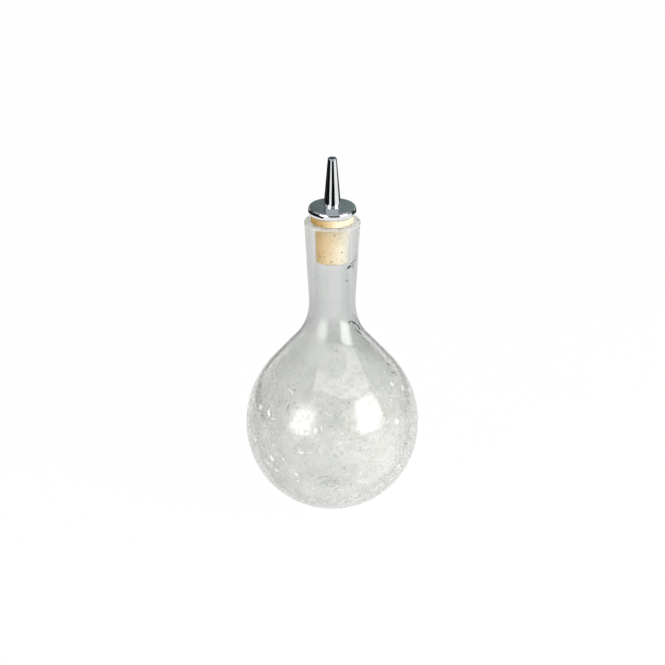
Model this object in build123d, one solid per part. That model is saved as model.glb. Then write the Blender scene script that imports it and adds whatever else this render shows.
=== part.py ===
"""Bitters bottle: a blown globe of crackle glass with a flared neck, closed by a stepped cork that carries
a chromed dasher spout. Millimetres, +Z up, origin at the middle of the base, on the surface it stands on.

The glass is one blown piece, kept as three nodes that meet level: a bowl below the globe's widest height,
the shoulder above it, and the neck. The cork's head rests on the lip and its tapered shank fills the bore.
The spout's stem tube runs through the cap and the bored cork, and its rolled lower end holds a washer
against the cork, so that the metalwork can be turned in the cork. A plug with a fine orifice in the stem
makes the pour a dash.
"""

from build123d import *
import math
import os

# Glass: the globe, whose upper half is drawn out a little towards the neck
globe_radius = 37.5
globe_upper_height = 41.2
globe_lower_height = 37.6
wall_thickness = 2.4
globe_curve_steps = 16

# Glass: the base, a resting ring around a pushed-up middle
base_radius = 14.1
heel_rounding = 1.4
punt_radius = 9.2
punt_height = 2.6
punt_rounding = 0.8
floor_thickness = 5.0
floor_rounding = 6.0
kick_radius = 8.0
kick_height = 2.8
kick_rounding = 1.6

# Glass: the shoulder, neck and lip
shoulder_angle = 41.4
shoulder_rounding = 25.4
waist_radius = 9.92
waist_height = 92.0
neck_foot_height = 69.0
mouth_height = 129.75
lip_radius = 12.03
bore_radius = 7.4
lip_outer_rounding = 0.6
lip_inner_rounding = 0.7

# Cork: a head over the lip and a shank in the bore
cork_fit_clearance = 0.06
cork_taper_angle = 1.95
cork_shank_length = 17.25
cork_head_radius = 9.2
cork_head_height = 3.53
cork_edge_rounding = 0.5
cork_seat_gap = 0.02

# Dasher cap: a shallow chromed cup over the top of the cork's head, its lower edge drawn in to the cork
cap_skirt_wall = 0.92
cap_top_thickness = 0.8
cap_skirt_depth = 2.3
cap_shoulder_rounding = 0.65
cap_tuck_depth = 0.3
cap_tuck_height = 0.7
cap_tuck_rounding = 0.9
cap_clearance = 0.08

# Spout: a tapered nozzle whose foot sits on the cap
spout_height = 21.77
spout_foot_radius = 3.7
spout_tip_radius = 1.88
spout_flare_radius = 4.1
spout_flare_rounding = 0.7
spout_flare_thickness = 0.3
spout_tip_rounding = 0.3
spout_outlet_radius = 1.25
spout_outlet_length = 3.0
spout_socket_depth = 5.0

# Stem: the tube that ties the spout, the cap and the cork together
stem_radius = 2.2
stem_bore_radius = 1.6
stem_clearance = 0.05
press_clearance = 0.01
stem_roll_radius = 3.3
stem_roll_thickness = 0.5

# Washer under the cork
washer_radius = 5.4
washer_thickness = 0.6

# Dash restrictor: a plug with a fine orifice in the lower end of the stem
restrictor_length = 5.0
restrictor_flange_radius = 2.4
restrictor_flange_thickness = 0.7
restrictor_orifice_radius = 0.6
restrictor_throat_radius = 1.1
restrictor_throat_length = 2.5

# How far a cutting solid runs past what it cuts
overrun = 2.0

# Heights that follow from the sizes above
globe_centre = globe_lower_height * math.sqrt(1 - (base_radius / globe_radius) ** 2)
cork_seat = mouth_height + cork_seat_gap
cork_bottom = cork_seat - cork_shank_length
cap_rim = cork_seat + cork_head_height
cork_top = cap_rim + cap_skirt_depth - cap_clearance
cap_top = cap_rim + cap_skirt_depth + cap_top_thickness
cap_radius = cork_head_radius + cap_clearance + cap_skirt_wall
spout_tip = cap_top + spout_height
washer_top = cork_bottom - cork_seat_gap
washer_bottom = washer_top - washer_thickness
stem_bottom = washer_bottom - stem_roll_thickness
stem_top = cap_top + spout_socket_depth


def turned(outline):
    """The solid that a closed outline in the XZ plane makes when it is turned about the Z axis."""
    return revolve(make_face(outline), Axis.Z)


def ring_edges(solid, radius, height, reach):
    """The circular edges of a turned solid that lie within reach of a radius and a height."""
    rings = solid.edges().filter_by(GeomType.CIRCLE)
    return [e for e in rings if math.hypot(e.radius - radius, e.arc_center.Z - height) < reach]


def globe_curve(across, up, down, low, high):
    """The globe's side between two angles from its widest height: ellipses of one width, taller above."""

    def at(angle):
        return across * math.cos(angle), globe_centre + (up if angle > 0 else down) * math.sin(angle)

    def along(angle):
        return -across * math.sin(angle), (up if angle > 0 else down) * math.cos(angle)

    angles = [low + (high - low) * step / globe_curve_steps for step in range(globe_curve_steps + 1)]
    return Spline(*[at(angle) for angle in angles], tangents=(along(low), along(high)))


def glass_skin(inset, level, neck_low, neck_high, rounding):
    """One skin of the glass as connected lines: the globe, from a level near its bottom up to where the
    shoulder leaves it as a tangent, and the shoulder, rounded into the neck line between two points.
    """
    across = globe_radius - inset
    up = globe_upper_height - inset
    down = globe_lower_height - inset
    slope = math.radians(shoulder_angle)
    leave = math.atan(up / across * math.tan(slope))
    leave_point = (across * math.cos(leave), globe_centre + up * math.sin(leave))
    lean = (neck_high[0] - neck_low[0]) / (neck_high[1] - neck_low[1])
    rise = leave_point[0] - neck_low[0] + lean * (neck_low[1] - leave_point[1])
    corner_height = leave_point[1] + rise / (math.tan(slope) + lean)
    corner_radius = leave_point[0] - (corner_height - leave_point[1]) * math.tan(slope)
    start = math.asin((level - globe_centre) / down)
    globe = globe_curve(across, up, down, start, leave)
    shoulder = FilletPolyline(leave_point, (corner_radius, corner_height), neck_high, radius=rounding)
    return globe, shoulder


def filled_skin(inset, level, neck_low, neck_high, rounding):
    """The solid inside one skin of the glass, flat at a level near the bottom and at the top of the neck."""
    globe, shoulder = glass_skin(inset, level, neck_low, neck_high, rounding)
    bottom = globe @ 0
    top = shoulder @ 1
    closing = Polyline(top, (0, top.Y), (0, bottom.Y), bottom)
    return turned(Plane.XZ * Curve([globe, *shoulder.edges(), *closing.edges()]))


def dome(radius, height, level):
    """A shallow dome that stands on a level, as wide and as high as given."""
    ball_radius = (radius**2 + height**2) / (2 * height)
    ball = Pos(0, 0, level + height - ball_radius) * Sphere(ball_radius)
    keep = Pos(0, 0, level) * Cylinder(
        ball_radius, ball_radius, align=(Align.CENTER, Align.CENTER, Align.MIN)
    )
    return ball & keep


def disc(radius, low, high):
    """An upright cylinder about the Z axis between two heights."""
    return Pos(0, 0, low) * Cylinder(
        radius, high - low, align=(Align.CENTER, Align.CENTER, Align.MIN)
    )


def mouth_rounding():
    """What is melted away from the mouth's inner edge: a plug whose side curves outwards to the top."""
    low = mouth_height - lip_inner_rounding
    wide = bore_radius + lip_inner_rounding
    curve = RadiusArc((bore_radius, low), (wide, mouth_height), lip_inner_rounding)
    closing = Polyline((wide, mouth_height), (0, mouth_height), (0, low), (bore_radius, low))
    return turned(Plane.XZ * Curve([curve, *closing.edges()]))


def make_glass():
    """The whole blown bottle: both skins, the cut base with its pushed-up middle, and fire-polished lips."""
    outer = filled_skin(0, 0, (waist_radius, waist_height), (lip_radius, mouth_height), shoulder_rounding)
    outer -= dome(punt_radius, punt_height, 0)
    outer = fillet(ring_edges(outer, base_radius, 0, heel_rounding), heel_rounding)
    outer = fillet(ring_edges(outer, punt_radius, 0, punt_rounding), punt_rounding)
    outer = fillet(
        ring_edges(outer, lip_radius, mouth_height, lip_outer_rounding), lip_outer_rounding
    )
    inner = filled_skin(
        wall_thickness,
        floor_thickness,
        (bore_radius, waist_height),
        (bore_radius, mouth_height + overrun),
        shoulder_rounding + wall_thickness,
    )
    floor_up = (globe_centre - floor_thickness) / (globe_lower_height - wall_thickness)
    floor_radius = (globe_radius - wall_thickness) * math.sqrt(1 - floor_up**2)
    inner = fillet(
        ring_edges(inner, floor_radius, floor_thickness, wall_thickness), floor_rounding
    )
    inner -= dome(kick_radius, kick_height, floor_thickness)
    inner = fillet(
        ring_edges(inner, kick_radius, floor_thickness, kick_rounding), kick_rounding
    )
    return outer - inner - mouth_rounding()


def glass_between(low, high):
    """The part of the glass between two heights."""
    return make_glass() & disc(globe_radius + overrun, low, high)


def make_glass_bowl():
    """The glass below the globe's widest height."""
    return glass_between(-overrun, globe_centre)


def make_glass_shoulder():
    """The glass from the globe's widest height up to the foot of the neck."""
    return glass_between(globe_centre, neck_foot_height)


def make_glass_neck():
    """The glass above the foot of the neck."""
    return glass_between(neck_foot_height, mouth_height + overrun)


def make_cork_stopper():
    """The stepped cork: a head over the lip, a shank that tapers down the bore, and a bore for the stem."""
    shank_top = bore_radius - cork_fit_clearance
    shank_end = shank_top - cork_shank_length * math.tan(math.radians(cork_taper_angle))
    outline = Plane.XZ * Polyline(
        (0, cork_bottom),
        (shank_end, cork_bottom),
        (shank_top, cork_seat),
        (cork_head_radius, cork_seat),
        (cork_head_radius, cork_top),
        (0, cork_top),
        close=True,
    )
    cork = turned(outline)
    cork = fillet(ring_edges(cork, shank_end, cork_bottom, cork_edge_rounding), cork_edge_rounding)
    return cork - disc(stem_radius + stem_clearance, cork_bottom - overrun, cork_top + overrun)


def make_dasher_cap():
    """The chromed cup: a top with a hole for the stem, a rounded shoulder and a skirt that draws in below."""
    tuck_top = cap_rim + cap_tuck_height
    outline = Plane.XZ * Polyline(
        (0, cap_rim),
        (cap_radius - cap_tuck_depth, cap_rim),
        (cap_radius, tuck_top),
        (cap_radius, cap_top),
        (0, cap_top),
        close=True,
    )
    cap = turned(outline)
    cap = fillet(ring_edges(cap, cap_radius, cap_top, cap_shoulder_rounding), cap_shoulder_rounding)
    cap = fillet(ring_edges(cap, cap_radius, tuck_top, cap_clearance), cap_tuck_rounding)
    cap -= disc(cap_radius - cap_skirt_wall, cap_rim - overrun, cap_rim + cap_skirt_depth)
    return cap - disc(stem_radius + press_clearance, cap_rim, cap_top + overrun)


def make_pour_spout():
    """The nozzle: a slender cone on a small flared foot, an outlet at the tip and a socket for the stem."""
    flare_top = cap_top + spout_flare_thickness
    outline = Plane.XZ * Polyline(
        (0, cap_top),
        (spout_flare_radius, cap_top),
        (spout_flare_radius, flare_top),
        (spout_foot_radius, flare_top),
        (spout_tip_radius, spout_tip),
        (0, spout_tip),
        close=True,
    )
    spout = turned(outline)
    spout = fillet(
        ring_edges(spout, spout_foot_radius, flare_top, spout_flare_thickness),
        min(spout_flare_rounding, spout_flare_radius - spout_foot_radius - press_clearance),
    )
    spout = fillet(ring_edges(spout, spout_tip_radius, spout_tip, spout_tip_rounding), spout_tip_rounding)
    spout -= disc(stem_radius + press_clearance, cap_top - overrun, stem_top)
    channel = Plane.XZ * Polyline(
        (0, stem_top),
        (stem_bore_radius, stem_top),
        (spout_outlet_radius, spout_tip - spout_outlet_length),
        (spout_outlet_radius, spout_tip + overrun),
        (0, spout_tip + overrun),
        close=True,
    )
    return spout - turned(channel)


def make_stem_tube():
    """The tube from the spout's socket down through the cork, with its lower end rolled outwards."""
    stem = disc(stem_radius, stem_bottom, stem_top) + disc(stem_roll_radius, stem_bottom, washer_bottom)
    return stem - disc(stem_bore_radius, stem_bottom - overrun, stem_top + overrun)


def make_stem_washer():
    """The flat washer that spreads the rolled end's hold over the bottom of the cork."""
    washer = disc(washer_radius, washer_bottom, washer_top)
    return washer - disc(stem_radius + press_clearance, washer_bottom - overrun, washer_top + overrun)


def make_dash_restrictor():
    """The plug in the stem: a flange below the rolled end, a fine orifice and a wider throat above it."""
    plug_radius = stem_bore_radius - press_clearance
    plug_top = stem_bottom + restrictor_length
    flange_bottom = stem_bottom - restrictor_flange_thickness
    plug = disc(plug_radius, flange_bottom, plug_top)
    plug += disc(restrictor_flange_radius, flange_bottom, stem_bottom)
    plug -= disc(restrictor_orifice_radius, flange_bottom - overrun, plug_top + overrun)
    return plug - disc(restrictor_throat_radius, plug_top - restrictor_throat_length, plug_top + overrun)


PARTS = {
    "glass_bowl": make_glass_bowl,
    "glass_shoulder": make_glass_shoulder,
    "glass_neck": make_glass_neck,
    "cork_stopper": make_cork_stopper,
    "dasher_cap": make_dasher_cap,
    "pour_spout": make_pour_spout,
    "stem_tube": make_stem_tube,
    "stem_washer": make_stem_washer,
    "dash_restrictor": make_dash_restrictor,
}

os.makedirs("parts", exist_ok=True)
for node, make in PARTS.items():
    export_step(make(), f"parts/{node}.step")
print("height", spout_tip, "mouth", mouth_height, "cork bottom", cork_bottom, "globe centre", globe_centre)
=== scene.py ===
import math
import random

import bmesh
import bpy
from mathutils import Matrix, Vector, noise


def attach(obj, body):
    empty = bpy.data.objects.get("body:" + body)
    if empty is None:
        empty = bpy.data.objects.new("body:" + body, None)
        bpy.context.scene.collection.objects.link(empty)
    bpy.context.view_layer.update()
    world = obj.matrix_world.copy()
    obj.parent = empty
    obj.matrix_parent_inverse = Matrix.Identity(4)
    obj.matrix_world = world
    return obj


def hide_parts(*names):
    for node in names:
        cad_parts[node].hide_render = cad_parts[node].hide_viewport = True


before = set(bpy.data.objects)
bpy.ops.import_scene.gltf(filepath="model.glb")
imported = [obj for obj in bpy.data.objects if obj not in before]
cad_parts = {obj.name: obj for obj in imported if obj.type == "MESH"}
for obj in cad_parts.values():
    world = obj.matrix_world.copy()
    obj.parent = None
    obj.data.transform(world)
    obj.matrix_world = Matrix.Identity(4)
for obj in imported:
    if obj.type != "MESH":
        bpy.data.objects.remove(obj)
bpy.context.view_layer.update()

# The glass bottle. One blown piece of clear glass: a globe with a pushed-up base, a sloping shoulder and a
# slightly flared neck with a fire-polished lip. The hot globe was dipped in water, so that its wall is full
# of fine cracks, and then blown a little more; the neck stayed smooth.
MM = 0.001
TURN = 2 * math.pi
GLOBE_R, GLOBE_UP, GLOBE_DOWN = 37.5, 41.2, 37.6
BASE_R, WALL, FLOOR = 14.1, 2.4, 5.0
GLOBE_Z = GLOBE_DOWN * math.sqrt(1 - (BASE_R / GLOBE_R) ** 2)
MOUTH_Z, LIP_R, BORE_R = 129.75, 12.03, 7.4
WAIST_Z, WAIST_R = 92.0, 9.92
SHOULDER_SLOPE, SHOULDER_BEND = math.radians(41.4), 25.4
HEEL, PUNT_R, PUNT_UP, PUNT_EDGE = 1.4, 9.2, 2.6, 0.8
KICK_R, KICK_UP, KICK_EDGE, FLOOR_EDGE = 8.0, 2.8, 1.6, 6.0
LIP_OUT, LIP_IN = 0.6, 0.7
GLOBE_RINGS, SHOULDER_RINGS, BEND_RINGS, NECK_RINGS = 60, 7, 20, 19
BOTTLE_AROUND = 144


def round_corner(before, corner, after, radius, steps):
    """Points of the arc that rounds a corner of an outline."""
    a, b = (before - corner).normalized(), (after - corner).normalized()
    half = a.angle(b) / 2
    middle = corner + (a + b).normalized() * (radius / math.sin(half))
    first = corner + a * (radius / math.tan(half)) - middle
    last = corner + b * (radius / math.tan(half)) - middle
    sweep = first.angle_signed(last)
    points = []
    for i in range(steps + 1):
        arm = first.copy()
        arm.rotate(Matrix.Rotation(-sweep * i / steps, 2))
        points.append(middle + arm)
    return points


def skin(inset, level, neck_low, neck_high, bend):
    """One skin of the glass from a level near the bottom to the top of the neck, as (radius, height)."""
    across, up, down = GLOBE_R - inset, GLOBE_UP - inset, GLOBE_DOWN - inset
    leave = math.atan(up / across * math.tan(SHOULDER_SLOPE))
    start = math.asin((level - GLOBE_Z) / down)
    points = []
    for i in range(GLOBE_RINGS + 1):
        a = start + (leave - start) * i / GLOBE_RINGS
        points.append(Vector((across * math.cos(a), GLOBE_Z + (up if a > 0 else down) * math.sin(a))))
    end = points[-1]
    lean = (neck_high[0] - neck_low[0]) / (neck_high[1] - neck_low[1])
    rise = end.x - neck_low[0] + lean * (neck_low[1] - end.y)
    corner_z = end.y + rise / (math.tan(SHOULDER_SLOPE) + lean)
    corner = Vector((end.x - (corner_z - end.y) * math.tan(SHOULDER_SLOPE), corner_z))
    bend_points = round_corner(end, corner, Vector(neck_high), bend, BEND_RINGS)
    for i in range(1, SHOULDER_RINGS):
        points.append(end.lerp(bend_points[0], i / SHOULDER_RINGS))
    points += bend_points
    for i in range(1, NECK_RINGS):
        points.append(bend_points[-1].lerp(Vector(neck_high), i / NECK_RINGS))
    return points


def dome(radius, height, level, steps):
    """The arc of a shallow dome from the axis outwards."""
    ball = (radius**2 + height**2) / (2 * height)
    reach = math.asin(radius / ball)
    points = []
    for i in range(steps + 1):
        a = reach * i / steps
        points.append(Vector((ball * math.sin(a), level + height - ball + ball * math.cos(a))))
    return points


def glass_outline():
    """The closed outline of the glass: base, outside, lip, inside and floor."""
    outside = skin(0, 0, (WAIST_R, WAIST_Z), (LIP_R, MOUTH_Z), SHOULDER_BEND)
    inside = skin(WALL, FLOOR, (BORE_R, WAIST_Z), (BORE_R, MOUTH_Z), SHOULDER_BEND + WALL)
    punt = dome(PUNT_R, PUNT_UP, 0, 12)
    kick = dome(KICK_R, KICK_UP, FLOOR, 10)
    line = punt[:-2]
    line += round_corner(punt[-3], Vector((PUNT_R, 0)), Vector((BASE_R, 0)), PUNT_EDGE, 5)
    line += round_corner(Vector((PUNT_R, 0)), Vector((BASE_R, 0)), outside[4], HEEL, 6)
    line += [p for p in outside if p.y > HEEL * 1.1]
    lip = Vector((LIP_R, MOUTH_Z))
    line += round_corner(outside[-1], lip, Vector((BORE_R, MOUTH_Z)), LIP_OUT, 7)
    line += round_corner(lip, Vector((BORE_R, MOUTH_Z)), Vector((BORE_R, WAIST_Z)), LIP_IN, 6)
    line += [p for p in reversed(inside) if p.y < MOUTH_Z - 1.5 and p.y > FLOOR + 3.2]
    floor_corner = Vector((inside[0].x, FLOOR))
    line += round_corner(inside[6], floor_corner, Vector((KICK_R, FLOOR)), FLOOR_EDGE, 8)
    line += round_corner(floor_corner, Vector((KICK_R, FLOOR)), kick[-3], KICK_EDGE, 5)
    line += list(reversed(kick[:-2]))
    return line, outside


def add_object(name, data):
    """An object of the scene that holds a mesh, a lamp or a camera."""
    thing = bpy.data.objects.new(name, data)
    bpy.context.collection.objects.link(thing)
    return thing


def turned(name, outline, around, shape, closed=False):
    """A mesh turned about the Z axis from (radius, height) points in mm. The outline starts and ends on the
    axis, or it is closed and stays clear of the axis."""
    shell = bmesh.new()
    rings = []
    for point in outline:
        if point.x < 1e-6:
            rings.append([shell.verts.new((0, 0, point.y * MM))])
            continue
        ring = []
        for k in range(around):
            a = TURN * k / around
            spot = Vector((point.x * math.cos(a), point.x * math.sin(a), point.y))
            ring.append(shell.verts.new(shape(spot, a) * MM))
        rings.append(ring)
    for low, high in zip(rings, rings[1:] + rings[:1] if closed else rings[1:]):
        for k in range(around):
            n = (k + 1) % around
            if len(low) == 1:
                shell.faces.new((low[0], high[k], high[n]))
            elif len(high) == 1:
                shell.faces.new((low[k], high[0], low[n]))
            else:
                shell.faces.new((low[k], high[k], high[n], low[n]))
    shell.normal_update()
    bmesh.ops.recalc_face_normals(shell, faces=shell.faces)
    for face in shell.faces:
        face.smooth = True
    mesh = bpy.data.meshes.new(name)
    shell.to_mesh(mesh)
    shell.free()
    return add_object(name, mesh)


FOOT_TRUE, LIP_BAND, LIP_SAG = 3, 2, 0.28
INSIDE_TOP, NECK_INSIDE_R = 62, 8.2
BORE_WAVE, INSIDE_WAVE, OUTSIDE_WAVE = 0.10, 0.75, 0.22


def blown(spot, angle):
    """Hand-blown glass is never quite round: the inside waves most, the outside hardly at all."""
    flat = Vector((spot.x, spot.y, 0))
    if spot.z < FOOT_TRUE:
        return spot
    if spot.z > MOUTH_Z - LIP_BAND:
        sag = noise.noise(Vector((math.cos(angle), math.sin(angle), 3)) * 1.6) - 0.45
        return spot + Vector((0, 0, LIP_SAG * sag * (spot.z - MOUTH_Z + LIP_BAND) / LIP_BAND))
    across, up = GLOBE_R - WALL / 2, (GLOBE_UP if spot.z > GLOBE_Z else GLOBE_DOWN) - WALL / 2
    within = (flat.length / across) ** 2 + ((spot.z - GLOBE_Z) / up) ** 2 < 1 and spot.z < INSIDE_TOP
    wave = noise.noise(spot * 0.055) * 0.55 + noise.noise(spot * 0.13 + Vector((9, 4, 2))) * 0.22
    if spot.z >= INSIDE_TOP and flat.length < NECK_INSIDE_R:
        amount = BORE_WAVE * min(1.0, max(0.0, (108 - spot.z) / 20))
    elif within:
        amount = INSIDE_WAVE * min(1.0, spot.z / 12)
    else:
        amount = OUTSIDE_WAVE * min(1.0, spot.z / 12) * min(1.0, max(0.2, (124 - spot.z) / 12))
    return spot + flat.normalized() * wave * amount


def radius_at(outline, z):
    """The radius of an outline at a height."""
    for low, high in zip(outline, outline[1:]):
        if high.y >= z:
            return low.x + (high.x - low.x) * (z - low.y) / max(1e-6, high.y - low.y)
    return LIP_R


# Single cracks on the neck and the shoulder, coloured near-black as a painted dark reflection: from azimuth
# and height to azimuth and height, and the half width. Azimuth 0 faces the camera.
STRAY_CRACKS = (
    (29, 111.2, 62, 112.4, 0.24),
    (38, 112.6, 70, 114.4, 0.24),
    (34, 111.8, 47, 112.2, 0.34),
    (48, 110.6, 60, 111.2, 0.24),
    (58, 115.0, 74, 116.6, 0.15),
    (33, 106.4, 38, 104.8, 0.12),
    (-52, 106.0, -44, 105.2, 0.12),
    (38, 85.6, 52, 86.4, 0.32),
    (51, 86.4, 66, 83.9, 0.42),
    (63, 84.1, 74, 80.2, 0.36),
    (58, 82.2, 70, 78.4, 0.24),
    (66, 78.0, 74, 74.0, 0.20),
    (74, 66.5, 79, 63.8, 0.26),
    (70, 63.8, 76, 61.0, 0.20),
    (-46, 56.0, -44.4, 55.4, 0.20),
    (-58, 48.0, -56.8, 47.0, 0.18),
)
CRACK_CELLS, CELL_SCATTER, SHORTEST_BORDER, CRACKS_END = 800, 0.075, 0.02, 140
BLADE_BEND, STRAY_SHALLOW, STRAY_DEEP = 0.45, 0.12, 0.5
HOLLOW_UP_TO, PAINTED_DARK_UP_TO = 0.06, 0.065
CRACK_FACES, LIP_GLASS, CRACKS_PAINTED_DARK = 1, 2, 3


def crack_share(middle, top):
    """The share of the cell borders that are cracked, in a direction from the globe's middle that is top
    degrees from straight down: fewer in front and towards the neck, more at the sides and below."""
    share = 0.62 if top < 75 else 0.48
    share *= 1.0 if top < 112 else max(0.12, (CRACKS_END - top) / 28)
    if middle.y < -0.72 and 58 < top < 125:
        return share * 0.45
    if abs(middle.x) > 0.7 or top < 50:
        return share * 1.35
    return share


def glass_cracks(shell, outside):
    """Fine cracks in the wall: thin hollow blades that stand on end between the outer and the inner skin,
    along the borders of small irregular cells."""
    picks = random.Random(7)
    seeds = bmesh.new()
    for i in range(CRACK_CELLS):
        z = 1 - (2 * i + 1) / CRACK_CELLS
        a = i * math.pi * (3 - math.sqrt(5))
        r = math.sqrt(1 - z * z)
        spot = Vector((r * math.cos(a), r * math.sin(a), z))
        spot += Vector([picks.uniform(-1, 1) for _ in range(3)]) * CELL_SCATTER
        seeds.verts.new(spot.normalized())
    bmesh.ops.convex_hull(seeds, input=seeds.verts)
    seeds.normal_update()
    angles = [math.atan2(p.x, GLOBE_Z - p.y) for p in outside]

    def from_bottom(way):
        """How far a direction from the globe's middle is from straight down."""
        return math.acos(max(-1, min(1, -way.z)))

    def on_glass(way, depth):
        """The point at a depth below the outer skin in a direction from the globe's middle."""
        polar = from_bottom(way)
        j = 1
        while j < len(angles) - 1 and angles[j] < polar:
            j += 1
        share = (polar - angles[j - 1]) / (angles[j] - angles[j - 1])
        p = outside[j - 1].lerp(outside[j], max(0, min(1, share)))
        slope = (outside[j] - outside[j - 1]).normalized()
        p = p - Vector((slope.y, -slope.x)) * depth
        side = Vector((way.x, way.y, 0)).normalized()
        return Vector((side.x * p.x, side.y * p.x, p.y))

    def blade(place, across, shallow, deep, thick, lean, bend):
        """One thin blade along a line of places in the wall: two tips and two rings of four corners."""
        mid_depth = (shallow + deep) / 2
        tips = [shell.verts.new(place(t, mid_depth) * MM) for t in (0, 1)]
        rings = []
        for t in (0.3, 0.7):
            wander = picks.uniform(-bend, bend)
            ring = []
            for depth, side in ((shallow, 0), (mid_depth, thick), (deep, 0), (mid_depth, -thick)):
                spot = place(t, depth) + across * (wander + side + lean * (depth - mid_depth))
                ring.append(shell.verts.new(spot * MM))
            rings.append(ring)
        faces = []
        for k in range(4):
            n = (k + 1) % 4
            faces.append(shell.faces.new((tips[0], rings[0][k], rings[0][n])))
            faces.append(shell.faces.new((rings[0][k], rings[1][k], rings[1][n], rings[0][n])))
            faces.append(shell.faces.new((rings[1][k], tips[1], rings[1][n])))
        return faces

    silvered, hollow, dark = [], [], []
    lowest = math.acos((GLOBE_Z - 1.0) / GLOBE_DOWN)
    for edge in seeds.edges:
        if len(edge.link_faces) != 2:
            continue
        first, last = edge.link_faces[0].normal, edge.link_faces[1].normal
        middle = (first + last).normalized()
        top = math.degrees(from_bottom(middle))
        if from_bottom(middle) < lowest or top > CRACKS_END:
            continue
        if picks.random() > crack_share(middle, top) or (last - first).length < SHORTEST_BORDER:
            continue
        across = (last - first).cross(middle).normalized()
        shallow = picks.uniform(0.15, 0.45)
        start = first.lerp(last, picks.uniform(0.05, 0.25))
        end = first.lerp(last, picks.uniform(0.7, 0.95))
        deep = shallow + picks.uniform(0.4, 1.2)
        thick = picks.uniform(0.01, 0.03)
        lean = picks.choice((-1, 1)) * picks.uniform(0.2, 1.2)

        def between(t, depth):
            return on_glass(start.lerp(end, t).normalized(), depth)

        faces = blade(between, across, shallow, deep, thick, lean, BLADE_BEND)
        # A few blades are painted near-black, as a painted dark reflection.
        kind = picks.random()
        (hollow if kind < HOLLOW_UP_TO else dark if kind < PAINTED_DARK_UP_TO else silvered).extend(faces)

    for turn, z, turn_end, z_end, thick in STRAY_CRACKS:
        def along(t, depth):
            level = z + (z_end - z) * t
            a = math.radians(turn + (turn_end - turn) * t)
            r = radius_at(outside, level) - depth
            return Vector((math.sin(a) * r, -math.cos(a) * r, level))

        stroke = along(1, 0) - along(0, 0)
        across = stroke.cross(Vector((along(0.5, 0).x, along(0.5, 0).y, 0))).normalized()
        lean = picks.choice((-0.8, 0.8))
        dark += blade(along, across, STRAY_SHALLOW, STRAY_DEEP, thick, lean, thick)
    bmesh.ops.recalc_face_normals(shell, faces=silvered + hollow + dark)
    for face in silvered:
        face.material_index = CRACK_FACES
    for face in dark:
        face.material_index = CRACKS_PAINTED_DARK
    bmesh.ops.reverse_faces(shell, faces=hollow)
    seeds.free()


glass_line, glass_outside = glass_outline()
bottle = turned("glass_bottle_blown", glass_line, BOTTLE_AROUND, blown)
wall = bmesh.new()
wall.from_mesh(bottle.data)
glass_cracks(wall, glass_outside)
for face in wall.faces:
    middle = face.calc_center_median() / MM
    if middle.z > MOUTH_Z - LIP_OUT * 1.5 and math.hypot(middle.x, middle.y) > BORE_R + 0.2:
        face.material_index = LIP_GLASS
wall.to_mesh(bottle.data)
wall.free()

outside_mark = bottle.data.color_attributes.new("outside", "FLOAT_COLOR", "POINT")
for corner, mark in zip(bottle.data.vertices, outside_mark.data):
    spot = corner.co / MM
    reach = math.hypot(spot.x, spot.y)
    level = 1.0 if spot.z < HEEL or reach > radius_at(glass_outside, spot.z) - 0.7 else 0.0
    mark.color = (level, level, level, 1)


def new_material(name):
    """A material with its node tree and its Principled BSDF."""
    material = bpy.data.materials.new(name)
    material.use_nodes = True
    return material, material.node_tree, material.node_tree.nodes["Principled BSDF"]


def node_at(tree, kind, **sockets):
    """A shader node with some of its sockets set."""
    node = tree.nodes.new(kind)
    for name, value in sockets.items():
        node.inputs[name.replace("_", " ")].default_value = value
    return node


def maths_node(tree, kind, operation):
    """A node that works on numbers or vectors."""
    node = tree.nodes.new(kind)
    node.operation = operation
    return node


def rescale(tree, low, high, to_low=0.0, to_high=1.0, curve="LINEAR"):
    """A node that carries a value from one range over to another and keeps it in there."""
    node = node_at(tree, "ShaderNodeMapRange", From_Min=low, From_Max=high, To_Min=to_low, To_Max=to_high)
    node.interpolation_type = curve
    return node


def tint_between(tree, kind="MIX", **sockets):
    """A node that mixes two colours."""
    node = tree.nodes.new("ShaderNodeMix")
    node.data_type, node.blend_type = "RGBA", kind
    for name, value in sockets.items():
        node.inputs[name].default_value = value
    return node


def color_ramp(tree, *stops):
    """A colour ramp from stops of a position and a colour."""
    ramp = tree.nodes.new("ShaderNodeValToRGB")
    first, last = ramp.color_ramp.elements
    first.position, first.color = stops[0][0], (*stops[0][1:], 1)
    last.position, last.color = stops[-1][0], (*stops[-1][1:], 1)
    for position, *color in stops[1:-1]:
        ramp.color_ramp.elements.new(position).color = (*color, 1)
    return ramp


def wire(tree, *links):
    """Links, each from a node and its output to a node and its input."""
    for start, output, end, socket in links:
        tree.links.new(start.outputs[output], end.inputs[socket])


NUMBER, COLOR = "NodeSocketFloat", "NodeSocketColor"


def effect_group(name, inputs, outputs):
    """A node group for an effect that several materials use, with its inside ends."""
    group = bpy.data.node_groups.new(name, "ShaderNodeTree")
    for socket, kind in inputs.items():
        group.interface.new_socket(socket, in_out="INPUT", socket_type=kind)
    for socket, kind in outputs.items():
        group.interface.new_socket(socket, in_out="OUTPUT", socket_type=kind)
    return group, group.nodes.new("NodeGroupInput"), group.nodes.new("NodeGroupOutput")


def placed(tree, group, **sockets):
    """An effect in a material, with that material's own values."""
    node = tree.nodes.new("ShaderNodeGroup")
    node.node_tree = group
    for name, value in sockets.items():
        node.inputs[name].default_value = value
    return node


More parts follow.
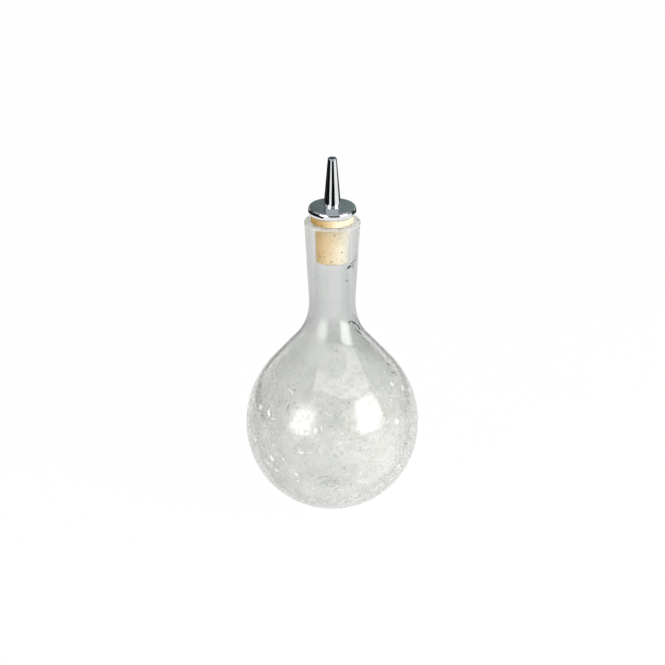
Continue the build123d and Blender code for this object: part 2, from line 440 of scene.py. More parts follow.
# Mottle: uneven cloudy patches between two tones, in the glass, on its cracks and in moulded plastic alike.
mottle, given, result = effect_group(
    "mottle",
    {
        "Scale": NUMBER,
        "Detail": NUMBER,
        "Grain": NUMBER,
        "Low": NUMBER,
        "High": NUMBER,
        "Dark": COLOR,
        "Light": COLOR,
    },
    {"Color": COLOR},
)
place = node_at(mottle, "ShaderNodeTexCoord")
clouds = node_at(mottle, "ShaderNodeTexNoise")
share = rescale(mottle, 0.0, 1.0)
tone = tint_between(mottle)
wire(
    mottle,
    (place, "Object", clouds, "Vector"),
    (given, "Scale", clouds, "Scale"),
    (given, "Detail", clouds, "Detail"),
    (given, "Grain", clouds, "Roughness"),
    (clouds, "Fac", share, "Value"),
    (given, "Low", share, "From Min"),
    (given, "High", share, "From Max"),
    (share, "Result", tone, "Factor"),
    (given, "Dark", tone, "A"),
    (given, "Light", tone, "B"),
    (tone, "Result", result, "Color"),
)

crackle_glass, tree, shader = new_material("crackle glass")
shader.inputs["Transmission Weight"].default_value = 1.0
shader.inputs["IOR"].default_value = 1.5
place = node_at(tree, "ShaderNodeTexCoord")
height = node_at(tree, "ShaderNodeSeparateXYZ")
wire(tree, (place, "Object", height, "Vector"))

# The neck is polished, the globe a little softer, and the shoulder's left, where its skin is uneven, dull.
soft_zone = rescale(tree, 0.104, 0.092, 0.0, 0.06)
shoulder_up = rescale(tree, 0.068, 0.076)
uneven_side = rescale(tree, 0.0005, -0.003, 0.0, 3.2)
uneven = maths_node(tree, "ShaderNodeMath", "MULTIPLY")
softer = maths_node(tree, "ShaderNodeMath", "MULTIPLY_ADD")
wire(
    tree,
    (height, "Z", soft_zone, "Value"),
    (height, "Z", shoulder_up, "Value"),
    (height, "X", uneven_side, "Value"),
    (shoulder_up, "Result", uneven, 0),
    (uneven_side, "Result", uneven, 1),
    (uneven, 0, softer, 0),
    (soft_zone, "Result", softer, 1),
    (soft_zone, "Result", softer, 2),
    (softer, 0, shader, "Roughness"),
)

# Its tint: cloudy on the globe, in upright streaks on the neck, clear round the cork. Its left side is
# painted darker, as painted shade, and the tint is darker higher up.
on_globe = rescale(tree, 0.088, 0.062)
cloud = placed(tree, mottle, Scale=150.0, Detail=4.0, Grain=0.65, Low=0.34, High=0.66,
               Dark=(0.73, 0.74, 0.715, 1), Light=(0.84, 0.845, 0.825, 1))
drawn_out = node_at(tree, "ShaderNodeMapping", Scale=(1.0, 1.0, 0.07))
streaks = node_at(tree, "ShaderNodeTexNoise", Scale=230.0, Detail=2.0, Roughness=0.5)
neck_tint = color_ramp(tree, (0.36, 0.78, 0.82, 0.79), (0.5, 0.84, 0.86, 0.845), (0.64, 0.86, 0.85, 0.87))
by_height = tint_between(tree)
round_cork = rescale(tree, 0.108, 0.114)
clear = tint_between(tree, B=(0.895, 0.895, 0.88, 1))
# Painted shade: the tint is scaled darker towards the bottle's left side. It is also scaled darker higher up.
painted_left_shade = rescale(tree, -0.026, 0.026, 0.91, 1.05)
darker_upwards = rescale(tree, 0.0, 0.075, 1.16, 0.96)
side_shade_and_height = maths_node(tree, "ShaderNodeMath", "MULTIPLY")
body_tint = maths_node(tree, "ShaderNodeVectorMath", "SCALE")
wire(
    tree,
    (height, "Z", on_globe, "Value"),
    (place, "Object", drawn_out, "Vector"),
    (drawn_out, "Vector", streaks, "Vector"),
    (streaks, "Fac", neck_tint, "Fac"),
    (on_globe, "Result", by_height, "Factor"),
    (neck_tint, "Color", by_height, "A"),
    (cloud, "Color", by_height, "B"),
    (height, "Z", round_cork, "Value"),
    (round_cork, "Result", clear, "Factor"),
    (by_height, "Result", clear, "A"),
    (height, "X", painted_left_shade, "Value"),
    (height, "Z", darker_upwards, "Value"),
    (painted_left_shade, "Result", side_shade_and_height, 0),
    (darker_upwards, "Result", side_shade_and_height, 1),
    (clear, "Result", body_tint, 0),
    (side_shade_and_height, 0, body_tint, "Scale"),
)
slant = node_at(tree, "ShaderNodeLayerWeight", Blend=0.5)


def edge_ramp(start, middle, middle_level, end_level):
    """The glass darkens towards its outline: a ramp over how steeply it is seen."""
    half, end = (middle_level, middle_level, middle_level * 0.985), (end_level, end_level, end_level * 0.97)
    ramp = color_ramp(tree, (start, 1, 1, 1), (middle, *half), (1.0, *end))
    wire(tree, (slant, "Facing", ramp, "Fac"))
    return ramp


globe_edge = edge_ramp(0.42, 0.72, 0.66, 0.30)
neck_edge = edge_ramp(0.14, 0.42, 0.52, 0.30)
bore_edge = edge_ramp(0.70, 0.85, 0.88, 0.60)
outer_skin = node_at(tree, "ShaderNodeVertexColor")
outer_skin.layer_name = "outside"
outside_edge = tint_between(tree)
edge_tint = tint_between(tree)
glass_tint = tint_between(tree, "MULTIPLY", Factor=1.0)
wire(
    tree,
    (outer_skin, "Color", outside_edge, "Factor"),
    (bore_edge, "Color", outside_edge, "A"),
    (neck_edge, "Color", outside_edge, "B"),
    (on_globe, "Result", edge_tint, "Factor"),
    (outside_edge, "Result", edge_tint, "A"),
    (globe_edge, "Color", edge_tint, "B"),
    (body_tint, 0, glass_tint, "A"),
    (edge_tint, "Result", glass_tint, "B"),
    (glass_tint, "Result", shader, "Base Color"),
)

# Shallow healed cracks run over both skins of the globe in short strokes, and none on the neck.
drift = node_at(tree, "ShaderNodeTexNoise", Scale=95.0, Detail=2.0, Roughness=0.5)
centred = maths_node(tree, "ShaderNodeVectorMath", "SUBTRACT")
centred.inputs[1].default_value = (0.5, 0.5, 0.5)
shifted = maths_node(tree, "ShaderNodeVectorMath", "MULTIPLY_ADD")
shifted.inputs[1].default_value = (0.004, 0.004, 0.004)
most = maths_node(tree, "ShaderNodeMath", "MAXIMUM")
wire(
    tree,
    (place, "Object", drift, "Vector"),
    (drift, "Color", centred, 0),
    (centred, 0, shifted, 0),
    (place, "Object", shifted, 2),
)
HEALED_CRACKS = (
    # cell scale, line width, patch scale, patch low, patch high, depth
    (190.0, 0.035, 330.0, 0.50, 0.58, 1.0),
    (430.0, 0.06, 520.0, 0.52, 0.60, 0.7),
)
for order, (cell_scale, width, patch_scale, low, high, deep) in enumerate(HEALED_CRACKS):
    cells = node_at(tree, "ShaderNodeTexVoronoi", Scale=cell_scale)
    cells.feature = "DISTANCE_TO_EDGE"
    line = rescale(tree, 0.0, width, deep, 0.0, "SMOOTHSTEP")
    patch = node_at(tree, "ShaderNodeTexNoise", Scale=patch_scale, Detail=1.0, Roughness=0.5)
    strokes = rescale(tree, low, high)
    both = maths_node(tree, "ShaderNodeMath", "MULTIPLY")
    wire(
        tree,
        (shifted, 0, cells, "Vector"),
        (cells, "Distance", line, "Value"),
        (place, "Object", patch, "Vector"),
        (patch, "Fac", strokes, "Value"),
        (line, "Result", both, 0),
        (strokes, "Result", both, 1),
        (both, 0, most, order),
    )
globe_only = maths_node(tree, "ShaderNodeMath", "MULTIPLY")
groove = node_at(tree, "ShaderNodeBump", Strength=1.0, Distance=0.00006)
groove.invert = True

# Lamplight passes straight through the glass, so that the cork and the table behind it stay bright.
lamp_path = node_at(tree, "ShaderNodeLightPath")
let_through = node_at(tree, "ShaderNodeBsdfTransparent", Color=(0.93, 0.94, 0.93, 1))
lamps_through = node_at(tree, "ShaderNodeMixShader")
wire(
    tree,
    (most, 0, globe_only, 0),
    (on_globe, "Result", globe_only, 1),
    (globe_only, 0, groove, "Height"),
    (groove, "Normal", shader, "Normal"),
    (lamp_path, "Is Shadow Ray", lamps_through, "Fac"),
    (shader, "BSDF", lamps_through, 1),
    (let_through, "BSDF", lamps_through, 2),
    (lamps_through, "Shader", tree.nodes["Material Output"], "Surface"),
)
bottle.data.materials.append(crackle_glass)

crack_faces, tree, shader = new_material("crack faces")
shader.inputs["Metallic"].default_value = 0.3
shader.inputs["Roughness"].default_value = 0.38
silver = placed(tree, mottle, Scale=700.0, Detail=2.0, Grain=0.5, Low=0.36, High=0.50,
                Dark=(0.60, 0.61, 0.59, 1), Light=(0.97, 0.97, 0.96, 1))
wire(tree, (silver, "Color", shader, "Base Color"))
bottle.data.materials.append(crack_faces)

lip_glass, tree, shader = new_material("lip glass")
shader.inputs["Transmission Weight"].default_value = 0.78
shader.inputs["Roughness"].default_value = 0.12
shader.inputs["IOR"].default_value = 1.5
haze = placed(tree, mottle, Scale=240.0, Detail=3.0, Grain=0.5, Low=0.3, High=0.7,
              Dark=(0.67, 0.66, 0.59, 1), Light=(0.82, 0.82, 0.79, 1))
wire(tree, (haze, "Color", shader, "Base Color"))
bottle.data.materials.append(lip_glass)

# The cracks' near-black colour is a painted dark reflection: it stands for the dark room that an air-filled
# crack mirrors.
cracks_painted_dark, tree, shader = new_material("dark cracks")
shader.inputs["Roughness"].default_value = 0.5
shade = placed(tree, mottle, Scale=900.0, Detail=2.0, Grain=0.5, Low=0.40, High=0.62,
               Dark=(0.015, 0.02, 0.018, 1), Light=(0.14, 0.16, 0.15, 1))
wire(tree, (shade, "Color", shader, "Base Color"))
bottle.data.materials.append(cracks_painted_dark)
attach(bottle, "bottle")
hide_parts("glass_bowl", "glass_shoulder", "glass_neck")

# The cork. A stepped stopper turned from natural cork: a head that sits on the lip and a slightly tapered
# shank in the neck, bored through for the stem. Sanded, pale straw, with small dark pores and a darker grain.
# Its left side is painted tan brown as painted shade, the right of its shank pale cream as painted light, and
# its head a little darker as painted shade.
CORK_HEAD_R, CORK_TOP = 9.2, 135.52
CORK_SEAT, CORK_LOW = 129.77, 112.52
SHANK_TOP_R, SHANK_LOW_R, CORK_BORE_R = 7.34, 6.753, 2.25
HEAD_EDGE, SEAT_EDGE = 0.15, 0.2
HEAD_RINGS, SHANK_RINGS, CORK_AROUND = 26, 64, 220
PORES = 150


def cork_outline():
    """The cork's side from its bore at the top, over the head and down the shank, back to the bore."""
    line = [(CORK_BORE_R, CORK_TOP), (CORK_HEAD_R - HEAD_EDGE, CORK_TOP), (CORK_HEAD_R, CORK_TOP - HEAD_EDGE)]
    straight = CORK_TOP - CORK_SEAT - HEAD_EDGE - SEAT_EDGE
    for i in range(1, HEAD_RINGS):
        line.append((CORK_HEAD_R, CORK_TOP - HEAD_EDGE - straight * i / HEAD_RINGS))
    line += [(CORK_HEAD_R, CORK_SEAT + SEAT_EDGE), (CORK_HEAD_R - SEAT_EDGE, CORK_SEAT)]
    line.append((SHANK_TOP_R, CORK_SEAT))
    for i in range(1, SHANK_RINGS + 1):
        t = i / SHANK_RINGS
        radius = SHANK_TOP_R + (SHANK_LOW_R - SHANK_TOP_R) * t
        line.append((radius, CORK_SEAT + (CORK_LOW + 0.5 - CORK_SEAT) * t))
    line += [(SHANK_LOW_R - 0.12, CORK_LOW + 0.2), (SHANK_LOW_R - 0.5, CORK_LOW), (CORK_BORE_R, CORK_LOW)]
    return [Vector(p) for p in line]


cork_picks = random.Random(21)
cork_pores = []
for _ in range(PORES):
    turn = cork_picks.uniform(0, TURN)
    z = cork_picks.uniform(CORK_LOW, CORK_TOP)
    wide = cork_picks.uniform(0.15, 0.5)
    tall = cork_picks.uniform(0.12, 0.3)
    deep = cork_picks.uniform(0.1, 0.4)
    cork_pores.append((turn, z, wide, tall, deep))


def cork_skin(spot, angle):
    """Small pores sink into the cork's side, and its skin is a little uneven."""
    flat = Vector((spot.x, spot.y, 0))
    radius = flat.length
    if radius < SHANK_LOW_R - 0.3:
        return spot
    sink = 0.03 * (noise.noise(spot * 1.3) + 1) / 2
    for a, z, wide, tall, deep in cork_pores:
        turn = (angle - a + math.pi) % TURN - math.pi
        reach = (turn * radius / wide) ** 2 + ((spot.z - z) / tall) ** 2
        if reach < 1:
            sink = max(sink, deep * (1 - reach))
    return spot - flat.normalized() * sink


cork = turned("cork_stopper_natural", cork_outline(), CORK_AROUND, cork_skin, closed=True)
natural_cork, tree, shader = new_material("natural cork")
shader.inputs["Roughness"].default_value = 0.75
place = node_at(tree, "ShaderNodeTexCoord")
side = node_at(tree, "ShaderNodeSeparateXYZ")
grain = node_at(tree, "ShaderNodeTexNoise", Scale=190.0, Detail=5.0, Roughness=0.5)
streak = node_at(tree, "ShaderNodeTexNoise", Scale=900.0, Detail=3.0, Roughness=0.6)
pits = node_at(tree, "ShaderNodeTexVoronoi", Scale=330.0)
rough = node_at(tree, "ShaderNodeBump", Strength=0.35, Distance=0.0002)
straw = color_ramp(tree, (0.25, 0.73, 0.53, 0.28), (0.50, 0.91, 0.78, 0.54), (0.75, 0.94, 0.86, 0.68))
speck = color_ramp(tree, (0.28, 0.35, 0.18, 0.06), (0.38, 1, 1, 1))
pit_edge = color_ramp(tree, (0.10, 0.30, 0.15, 0.05), (0.20, 1, 1, 1))
HEAD_FROM, HEAD_TO = 0.1292, 0.1300
# Painted light and shade across the cork: tan brown on its left as painted shade, pale cream on its right as
# painted light.
cork_shade_across = rescale(tree, -0.008, 0.0048, curve="SMOOTHSTEP")
right_side_light = rescale(tree, -0.001, 0.0075, 0.0, 0.85, "SMOOTHSTEP")
# The painted light is kept mostly below the head. The head is painted a little darker, as painted shade.
below_head = rescale(tree, HEAD_FROM, HEAD_TO, 1.0, 0.3)
head_painted_darker = rescale(tree, HEAD_FROM, HEAD_TO, 1.0, 0.92)
shank_light_share = maths_node(tree, "ShaderNodeMath", "MULTIPLY")
# The pale cream painted light on the right and the tan brown painted shade on the left.
cork_right_light = tint_between(tree, B=(0.98, 0.96, 0.88, 1))
cork_left_shade = tint_between(tree, A=(0.56, 0.34, 0.085, 1))
mixed = tint_between(tree, "MULTIPLY", Factor=0.8)
pitted = tint_between(tree, "MULTIPLY", Factor=0.75)
# Painted shade: the head's colour is scaled down a little.
handled = maths_node(tree, "ShaderNodeVectorMath", "SCALE")
wire(
    tree,
    (place, "Object", side, "Vector"),
    (place, "Object", grain, "Vector"),
    (place, "Object", streak, "Vector"),
    (place, "Object", pits, "Vector"),
    (grain, "Fac", straw, "Fac"),
    (side, "X", right_side_light, "Value"),
    (side, "Z", below_head, "Value"),
    (right_side_light, "Result", shank_light_share, 0),
    (below_head, "Result", shank_light_share, 1),
    (shank_light_share, 0, cork_right_light, "Factor"),
    (straw, "Color", cork_right_light, "A"),
    (side, "X", cork_shade_across, "Value"),
    (cork_shade_across, "Result", cork_left_shade, "Factor"),
    (cork_right_light, "Result", cork_left_shade, "B"),
    (streak, "Fac", speck, "Fac"),
    (cork_left_shade, "Result", mixed, "A"),
    (speck, "Color", mixed, "B"),
    (pits, "Distance", pit_edge, "Fac"),
    (mixed, "Result", pitted, "A"),
    (pit_edge, "Color", pitted, "B"),
    (side, "Z", head_painted_darker, "Value"),
    (pitted, "Result", handled, 0),
    (head_painted_darker, "Result", handled, "Scale"),
    (handled, 0, shader, "Base Color"),
    (streak, "Fac", rough, "Height"),
    (rough, "Normal", shader, "Normal"),
)
cork.data.materials.append(natural_cork)
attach(cork, "cork")
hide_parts("cork_stopper")

# The cap and the spout. Drawn metal, polished and chromed: a shallow cup pressed over the cork's head and a
# tapered nozzle that stands on it. The cup's flat top is a little duller than its rim, the nozzle's bore is
# dull and dark.
CAP_TOP, CAP_THICK, CAP_RIM, CAP_R, CAP_WALL = 136.4, 0.8, 133.3, 10.2, 0.92
CAP_SHOULDER, CAP_SHOULDER_UP, TUCK, TUCK_UP = 0.65, 1.5, 0.3, 0.7
SPOUT_TIP, FOOT_R, TIP_R, OUTLET_R, OUTLET_LONG = 158.17, 3.7, 1.88, 1.25, 3.0
FLARE_R, FLARE_UP, FLARE_EDGE, SOCKET_UP = 3.78, 0.14, 0.12, 5.0
STEM_R, STEM_BORE_R = 2.21, 1.6
METAL_AROUND, TOP_RINGS, NOZZLE_RINGS, FLARE_RINGS = 128, 12, 20, 8


def cap_outline():
    """The cap's section: from the stem's hole over the top and down the side to the rim, and back."""
    side, rim = Vector((CAP_R, CAP_RIM + TUCK_UP)), Vector((CAP_R - TUCK, CAP_RIM))
    edge = Vector((CAP_R - CAP_SHOULDER, CAP_TOP - CAP_SHOULDER_UP))
    hole, top_edge = Vector((STEM_R, CAP_TOP)), Vector((edge.x, CAP_TOP))
    line = [hole.lerp(top_edge, i / TOP_RINGS) for i in range(TOP_RINGS)]
    for i in range(TOP_RINGS + 1):
        a = math.pi / 2 * (1 - i / TOP_RINGS)
        line.append(edge + Vector((CAP_SHOULDER * math.cos(a), CAP_SHOULDER_UP * math.sin(a))))
    line += round_corner(Vector((CAP_R, CAP_TOP)), side, rim, 0.9, 3)
    line += round_corner(side, rim, Vector((CAP_R - CAP_WALL, CAP_RIM)), 0.12, 3)
    line += [Vector((CAP_R - CAP_WALL, CAP_RIM)), Vector((CAP_R - CAP_WALL, CAP_TOP - CAP_THICK))]
    return line + [Vector((STEM_R, CAP_TOP - CAP_THICK))]


def spout_outline():
    """The nozzle's section: up the socket and the channel to the outlet, over the tip, down to the foot."""
    tip, foot = Vector((TIP_R, SPOUT_TIP)), Vector((FOOT_R, CAP_TOP))
    line = [Vector((STEM_R, CAP_TOP)), Vector((STEM_R, CAP_TOP + SOCKET_UP))]
    line += [Vector((STEM_BORE_R, CAP_TOP + SOCKET_UP)), Vector((OUTLET_R, SPOUT_TIP - OUTLET_LONG))]
    line += round_corner(line[-1], Vector((OUTLET_R, SPOUT_TIP)), tip, 0.12, 3)
    line += round_corner(Vector((OUTLET_R, SPOUT_TIP)), tip, foot, 0.3, 4)
    last = line[-1]
    for i in range(1, NOZZLE_RINGS):
        p = last.lerp(foot, i / NOZZLE_RINGS)
        if p.y > CAP_TOP + FLARE_UP + 0.2:
            line.append(p)
    start = last.lerp(foot, (last.y - CAP_TOP - FLARE_UP) / (last.y - CAP_TOP))
    line.append(start + (last - start).normalized() * 0.4)
    for i in range(FLARE_RINGS + 1):
        a = math.pi / 2 * i / FLARE_RINGS
        flare = Vector(((FLARE_R - start.x) * (1 - math.cos(a)), (FLARE_EDGE - FLARE_UP) * math.sin(a)))
        line.append(start + flare)
    return line + [Vector((FLARE_R, CAP_TOP))]


def drawn_metal(spot, angle):
    """Drawn and polished metal is never quite true: shallow waves run over it."""
    wave = noise.noise(spot * 0.35 + Vector((4, 1, 7))) * 0.012 + noise.noise(spot * 0.9) * 0.004
    return spot + Vector((spot.x, spot.y, 0)).normalized() * wave + Vector((0, 0, wave))


# Handled metal: faint hairlines, and a shine and a tone that change from place to place.
handled_metal, given, result = effect_group(
    "handled metal",
    {"Roughness": NUMBER, "Dark": COLOR, "Light": COLOR},
    {"Color": COLOR, "Roughness": NUMBER, "Hairlines": NUMBER},
)
place = node_at(handled_metal, "ShaderNodeTexCoord")
hairs = node_at(handled_metal, "ShaderNodeTexNoise", Scale=1400.0, Detail=4.0, Roughness=0.6)
film = node_at(handled_metal, "ShaderNodeTexNoise", Scale=160.0, Detail=2.0, Roughness=0.5)
shiniest = maths_node(handled_metal, "ShaderNodeMath", "MULTIPLY")
shiniest.inputs[1].default_value = 0.8
dullest = maths_node(handled_metal, "ShaderNodeMath", "MULTIPLY")
dullest.inputs[1].default_value = 1.3
shine = rescale(handled_metal, 0.0, 1.0)
tone = tint_between(handled_metal)
wire(
    handled_metal,
    (place, "Object", hairs, "Vector"),
    (place, "Object", film, "Vector"),
    (given, "Roughness", shiniest, 0),
    (given, "Roughness", dullest, 0),
    (film, "Fac", shine, "Value"),
    (shiniest, 0, shine, "To Min"),
    (dullest, 0, shine, "To Max"),
    (film, "Fac", tone, "Factor"),
    (given, "Dark", tone, "A"),
    (given, "Light", tone, "B"),
    (tone, "Result", result, "Color"),
    (shine, "Result", result, "Roughness"),
    (hairs, "Fac", result, "Hairlines"),
)


def metal_finish(name, roughness, brush, dark=0.72):
    """Bare or chromed metal: its roughness, how deep the hairlines are, and its darkest tone."""
    material, tree, shader = new_material(name)
    shader.inputs["Metallic"].default_value = 1.0
    wear = placed(tree, handled_metal, Roughness=roughness, Dark=(dark, dark + 0.02, dark + 0.04, 1),
                  Light=(dark + 0.1, dark + 0.11, dark + 0.12, 1))
    bump = node_at(tree, "ShaderNodeBump", Strength=brush, Distance=0.00002)
    wire(
        tree,
        (wear, "Color", shader, "Base Color"),
        (wear, "Roughness", shader, "Roughness"),
        (wear, "Hairlines", bump, "Height"),
        (bump, "Normal", shader, "Normal"),
    )
    return material


SATIN, DULL_BORE, LEVEL_ENOUGH = 1, 2, 0.985
finishes = (
    metal_finish("polished chrome", 0.05, 0.1),
    metal_finish("satin chrome", 0.15, 0.08, 0.85),
    metal_finish("dull bore", 0.45, 0.3, 0.24),
)
for name, outline, node in (
    ("dasher_cap_drawn", cap_outline(), "dasher_cap"),
    ("pour_spout_drawn", spout_outline(), "pour_spout"),
):
    piece = turned(name, outline, METAL_AROUND, drawn_metal, closed=True)
    for finish in finishes:
        piece.data.materials.append(finish)
    for face in piece.data.polygons:
        middle, normal = face.center, face.normal
        in_bore = math.hypot(middle.x, middle.y) < STEM_R * MM * 1.02
        inwards = normal.x * middle.x + normal.y * middle.y < 0
        if node == "dasher_cap" and normal.z > LEVEL_ENOUGH:
            face.material_index = SATIN
        elif node == "pour_spout" and inwards and in_bore:
            face.material_index = DULL_BORE
    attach(piece, "spout")
    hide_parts(node)

# The stem, its washer and the dash restrictor. A plain drawn metal tube rolled out over a stamped washer
# under the cork, with a small moulded plug of white plastic pushed in from below.
moulded, tree, shader = new_material("moulded plastic")
shader.inputs["Roughness"].default_value = 0.5
milk = placed(tree, mottle, Scale=500.0, Detail=2.0, Grain=0.5, Low=0.0, High=1.0,
              Dark=(0.76, 0.76, 0.73, 1), Light=(0.84, 0.84, 0.82, 1))
wire(tree, (milk, "Color", shader, "Base Color"))
drawn = metal_finish("drawn metal", 0.28, 0.5)
for node, material in (("stem_tube", drawn), ("stem_washer", drawn), ("dash_restrictor", moulded)):
    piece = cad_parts[node]
    piece.data.materials.clear()
    piece.data.materials.append(material)

# The table and the room: a white table, a dark room round it with a paler back, two large soft windows of
# light and a pale ceiling. Nothing of the room but the table shows, except in the metal and the glass.
WALL_FAR, BEHIND_WALL, BACK_FAR, SEEN_THROUGH_FAR, FLOOR_FAR = 3.4, 3.5, 2.9, 3.2, 3.4
WINDOW_FAR, WINDOW_EDGE, CEILING_UP, BOTTLE_UP, TABLE_REACH = 2.0, 0.3, 1.63, 0.06, 8
CARD_COLUMNS, CARD_ROWS = 24, 12
DIM, COOL, BLUISH = (0.8, 0.85, 0.9), (0.75, 0.85, 0.90), (0.9, 0.95, 1.0)
PALE, NEAR_WHITE = (0.97, 0.98, 1.0), (1.0, 1.0, 0.99)


def panel(name, corners, material):
    """A flat card in the room."""
    mesh = bpy.data.meshes.new(name)
    mesh.from_pydata([tuple(c) for c in corners], [], [tuple(range(len(corners)))])
    card = add_object(name, mesh)
    card.data.materials.append(material)
    return card


def in_room(azimuth, distance, height):
    """A place in the room. Azimuth 0 is behind the camera, and 90 is to the camera's right."""
    a = math.radians(azimuth)
    return Vector((math.sin(a) * distance, -math.cos(a) * distance, height))


def seen_from_table(azimuth, elevation, distance):
    """A place in the room by the direction in which the bottle sees it."""
    e = math.radians(elevation)
    return in_room(azimuth, math.cos(e) * distance, math.sin(e) * distance + BOTTLE_UP)


def glow(name, color, strength):
    """A plain glowing surface."""
    material = bpy.data.materials.new(name)
    material.use_nodes = True
    tree = material.node_tree
    tree.nodes.clear()
    lamp = node_at(tree, "ShaderNodeEmission", Color=(*color, 1), Strength=strength)
    wire(tree, (lamp, "Emission", node_at(tree, "ShaderNodeOutputMaterial"), "Surface"))
    return material


def only_seen_in(card, metal, glass):
    """The card shows only as a reflection or through the glass, and neither lights nor shades anything."""
    card.visible_camera = False
    card.visible_diffuse = False
    card.visible_shadow = False
    card.visible_volume_scatter = False
    card.visible_glossy = metal
    card.visible_transmission = glass


def curved_card(name, places, material, metal=True, glass=False):
    """A card in the room whose places are given row by row."""
    shell = bmesh.new()
    grid = [[shell.verts.new(place) for place in row] for row in places]
    for low, high in zip(grid, grid[1:]):
        for i in range(len(low) - 1):
            shell.faces.new((low[i], low[i + 1], high[i + 1], high[i]))
    mesh = bpy.data.meshes.new(name)
    shell.to_mesh(mesh)
    shell.free()
    card = add_object(name, mesh)
    card.data.materials.append(material)
    only_seen_in(card, metal, glass)
    return card


def room_card(name, left, right, low, high, distance, color, strength, metal=True, glass=False):
    """A curved part of the room between two azimuths and two elevations."""
    places = []
    for j in range(CARD_ROWS + 1):
        elevation = low + (high - low) * j / CARD_ROWS
        azimuths = [left + (right - left) * i / CARD_COLUMNS for i in range(CARD_COLUMNS + 1)]
        places.append([seen_from_table(azimuth, elevation, distance) for azimuth in azimuths])
    return curved_card(name, places, glow(name, color, strength), metal, glass)


def floor_card(name, left, right, near, color, strength):
    """A part of the room's floor beyond the table's edge, between two azimuths."""
    places = []
    for j in range(3):
        r = near + (FLOOR_FAR - near) * j / 2
        azimuths = [left + (right - left) * i / CARD_COLUMNS for i in range(CARD_COLUMNS + 1)]
        places.append([in_room(azimuth, r, 0.001) for azimuth in azimuths])
    return curved_card(name, places, glow(name, color, strength))


def soft_window(name, left, right, low, high, strength, power, fade_share):
    """A window of light that fades out towards its rounded edge, like a lamp behind a soft screen."""
    card = room_card(name, left, right, low, high, WINDOW_FAR, (1, 1, 1), 1.0, glass=True)
    fade = card.data.color_attributes.new("fade", "FLOAT_COLOR", "POINT")
    for i in range(len(card.data.vertices)):
        row, column = divmod(i, CARD_COLUMNS + 1)
        across, up = column / CARD_COLUMNS * 2 - 1, row / CARD_ROWS * 2 - 1
        reach = min(1.0, (abs(across) ** power + abs(up) ** power) ** (1 / power))
        t = max(0.0, min(1.0, (1.0 - reach) / fade_share))
        level = WINDOW_EDGE + (strength - WINDOW_EDGE) * t * t * (3 - 2 * t)
        fade.data[i].color = (level, level, level * 0.98, 1)
    tree = card.data.materials[0].node_tree
    spread = node_at(tree, "ShaderNodeVertexColor")
    spread.layer_name = "fade"
    wire(tree, (spread, "Color", tree.nodes["Emission"], "Color"))


room_card("room_dark", -180, 180, 10, 90, WALL_FAR, COOL, 0.17)
room_card("room_front", -125, 125, -1, 10, WALL_FAR, DIM, 0.06)
room_card("room_seen_through", -180, 180, 14, 90, BEHIND_WALL, PALE, 0.7, metal=False, glass=True)
soft_window("window_right", 34, 78, -3, 40, 6.0, 8, 0.22)
soft_window("window_left", -63, -18, -12, 39, 6.4, 4, 0.5)
overhead = [
    (x, y, CEILING_UP)
    for x, y in (
        (-0.92, -0.95), (0.42, -1.54), (2.1, -0.91), (1.33, 0.45), (0.6, 0.9), (0.15, 0.2), (-0.4, -0.5)
    )
]
ceiling = panel("ceiling", overhead, glow("ceiling", (0.94, 0.92, 1.0), 3.6))
only_seen_in(ceiling, metal=True, glass=False)
shade_rows = [
    [in_room(9 * i, distance, height) for i in range(-11, 12)]
    for distance, height in ((0.0, 0.164), (0.055, 0.164), (0.076, 0.149))
]
curved_card("shade_over_stopper", shade_rows, glow("shade", BLUISH, 0.5))
room_card("back_right", 105, 180, 12, 42, BACK_FAR, (0.76, 1.0, 1.0), 0.22)
room_card("back_left", 180, 255, 12, 42, BACK_FAR, (0.76, 0.95, 1.0), 0.12)
for name, left, right, low, high in (
    ("left_seen_through", -150, -40, 0, 75),
    ("ceiling_seen_through", -40, 60, 38, 90),
):
    room_card(name, left, right, low, high, SEEN_THROUGH_FAR, NEAR_WHITE, 2.0, metal=False, glass=True)
floor_card("floor_left_back", -179, -98, 0.322, BLUISH, 0.03)
floor_card("floor_left", -98, -41, 0.325, DIM, 0.008)
floor_card("floor_front", -12, 37, 0.54, DIM, 0.005)
floor_card("floor_right", 104, 179, 0.325, DIM, 0.06)


def seen_directly(tree):
    """A node that gives 1 to what the camera sees, also in metal and through glass, and 0 to plain light."""
    path = node_at(tree, "ShaderNodeLightPath")
    seen = path.outputs["Is Camera Ray"]
    for ray in ("Is Glossy Ray", "Is Transmission Ray"):
        either = maths_node(tree, "ShaderNodeMath", "MAXIMUM")
        tree.links.new(seen, either.inputs[0])
        tree.links.new(path.outputs[ray], either.inputs[1])
        seen = either.outputs[0]
    return either


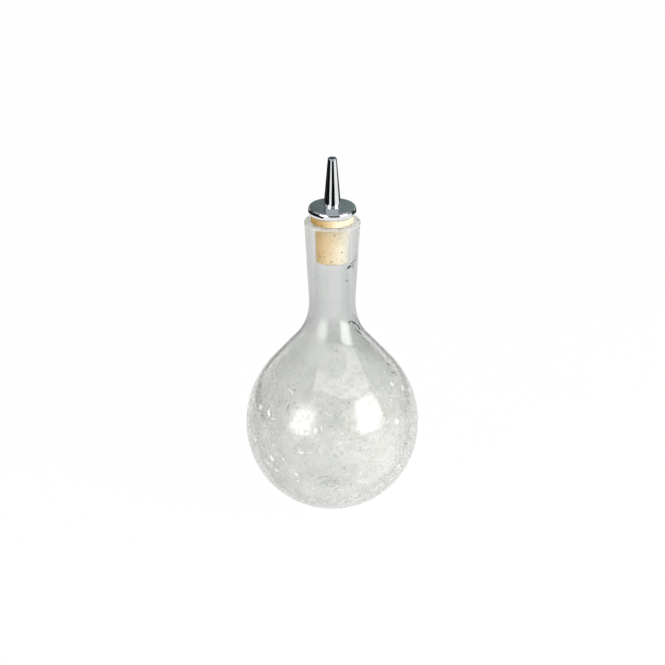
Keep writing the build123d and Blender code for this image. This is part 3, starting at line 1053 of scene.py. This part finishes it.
floor_material, tree, shader = new_material("white table")
shader.inputs["Base Color"].default_value = (0.9, 0.9, 0.9, 1)
shader.inputs["Roughness"].default_value = 0.8
white_share = maths_node(tree, "ShaderNodeMath", "MULTIPLY")
white_share.inputs[1].default_value = 0.95
white = node_at(tree, "ShaderNodeEmission")
both = node_at(tree, "ShaderNodeMixShader")
wire(
    tree,
    (seen_directly(tree), 0, white_share, 0),
    (white_share, 0, both, "Fac"),
    (shader, "BSDF", both, 1),
    (white, "Emission", both, 2),
    (both, "Shader", tree.nodes["Material Output"], "Surface"),
)
table_corners = [(x * TABLE_REACH, y * TABLE_REACH, 0) for x, y in ((-1, -1), (1, -1), (1, 1), (-1, 1))]
panel("table", table_corners, floor_material)

world = bpy.data.worlds.new("room light")
bpy.context.scene.world = world
world.use_nodes = True
tree = world.node_tree
back = tree.nodes["Background"]
back.inputs["Color"].default_value = (1, 1, 1, 1)
level = rescale(tree, 0.0, 1.0, 0.55, 1.0)
wire(tree, (seen_directly(tree), 0, level, "Value"), (level, "Result", back, "Strength"))


def soft_lamp(name, place, size, power):
    """A large soft lamp that lights the object and isn't itself reflected."""
    data = bpy.data.lights.new(name, "AREA")
    data.shape, data.size, data.size_y, data.energy = "RECTANGLE", size[0], size[1], power
    lamp = add_object(name, data)
    lamp.location = place
    lamp.rotation_euler = (Vector((0, 0, 0.08)) - place).to_track_quat("-Z", "Y").to_euler()
    lamp.visible_glossy = False
    lamp.visible_transmission = False
    lamp.visible_camera = False


soft_lamp("lamp_right", seen_from_table(50, 32, 1.6), (1.2, 1.4), 22)
soft_lamp("lamp_left", seen_from_table(-36, 30, 1.6), (0.8, 0.9), 8)

# The camera. It stands 1.3 m away, looks down on the bottle at about 24 degrees, and its lens gives the
# photograph's scale at the bottle.
LOOK, DISTANCE, TILT = Vector((0.0001, 0, 0.07785)), 1300, math.radians(24.04)
PIXELS_PER_MM, PICTURE, SENSOR = 2.322, 665, 36
camera_data = bpy.data.cameras.new("camera")
camera_data.sensor_width = SENSOR
camera_data.lens = PIXELS_PER_MM * DISTANCE * SENSOR / PICTURE
camera = add_object("camera", camera_data)
camera.location = LOOK + Vector((0, -math.cos(TILT), math.sin(TILT))) * (DISTANCE * MM)
camera.rotation_euler = (math.pi / 2 - TILT, 0, 0)
scene = bpy.context.scene
scene.camera = camera
scene.view_settings.view_transform = "Standard"
scene.cycles.max_bounces = 64
scene.cycles.transmission_bounces = 48
scene.cycles.glossy_bounces = 48
